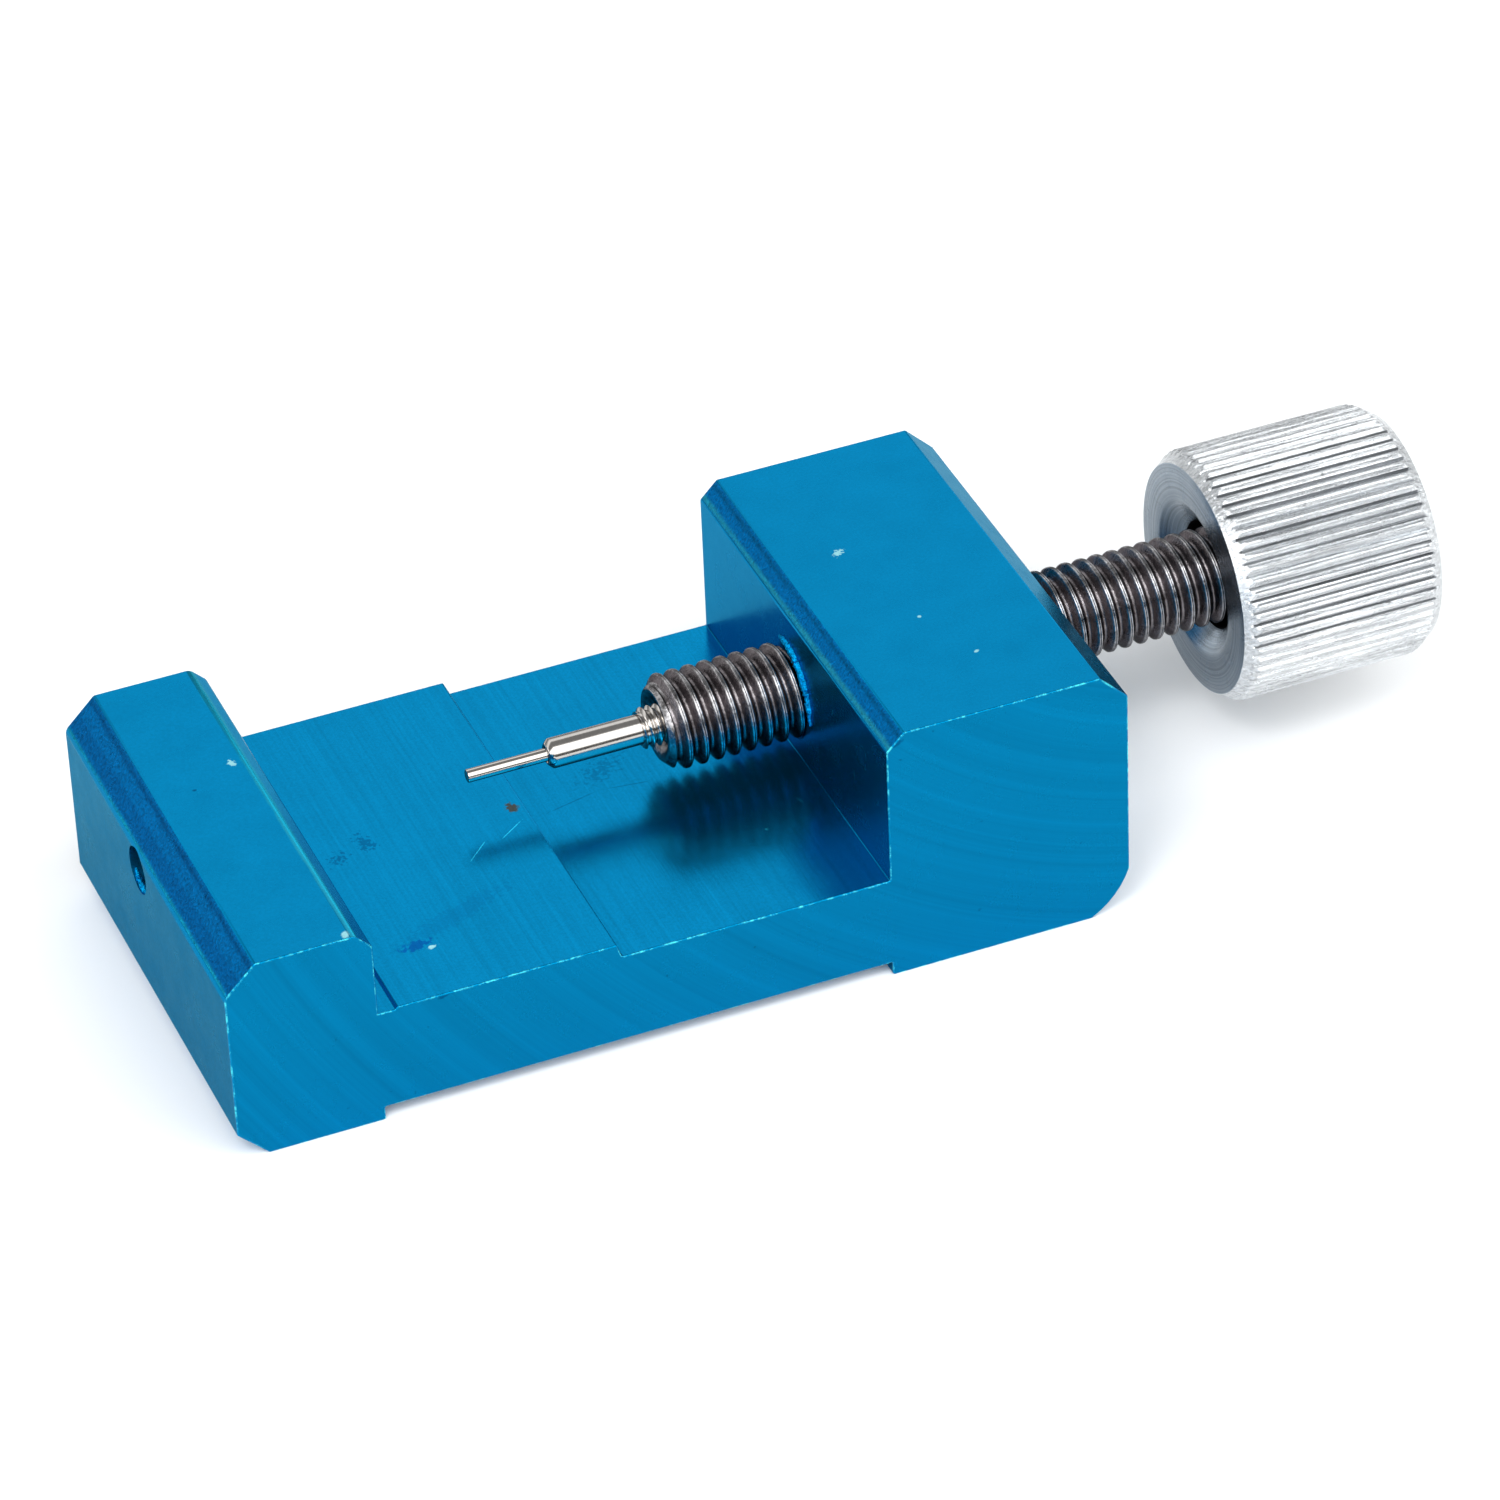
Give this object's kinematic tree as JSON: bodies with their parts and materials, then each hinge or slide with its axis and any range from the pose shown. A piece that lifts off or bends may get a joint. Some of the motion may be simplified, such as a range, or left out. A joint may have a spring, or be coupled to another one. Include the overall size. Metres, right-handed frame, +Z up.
{
  "type": "bracelet link pin press",
  "caption": "Anodised aluminium block with an anvil and channel, where a knurled screw drives a thin punch to press the link pins out of a watch bracelet.",
  "frame": {"origin": "under the middle of the whole tool's box at the pose shown, on the plane of the feet, midway across the block", "axes": "+X along the screw from the anvil towards the knob, +Y across the block, +Z up from the feet"},
  "size_m": [0.079, 0.028, 0.0184],
  "materials": {
    "anodised_block": "satin blue anodised",
    "screw_steel": "dark plated",
    "knob_aluminium": "bright turned and knurled",
    "holder_steel": "polished",
    "punch_steel": "polished"
  },
  "bodies": {
    "block": {"body": "anodised_block"},
    "carriage": {"punch": "punch_steel"},
    "spindle": {"screw": "screw_steel", "knob": "knob_aluminium", "punch_holder": "holder_steel"}
  },
  "joints": [
    {"name": "screw_travel", "type": "slide", "parent": "block", "child": "carriage", "axis": [-1, 0, 0], "range_m": [-0.008, 0.0105]},
    {"name": "screw_turn", "type": "hinge", "parent": "carriage", "child": "spindle", "pos_m": [0, 0.0008, 0.0107], "axis": [-1, 0, 0], "range_deg": [-2880, 3780]}
  ],
  "couplings": [
    {"joint": "screw_travel", "follows": "screw_turn", "m_per_rad": 0.00015915}
  ]
}
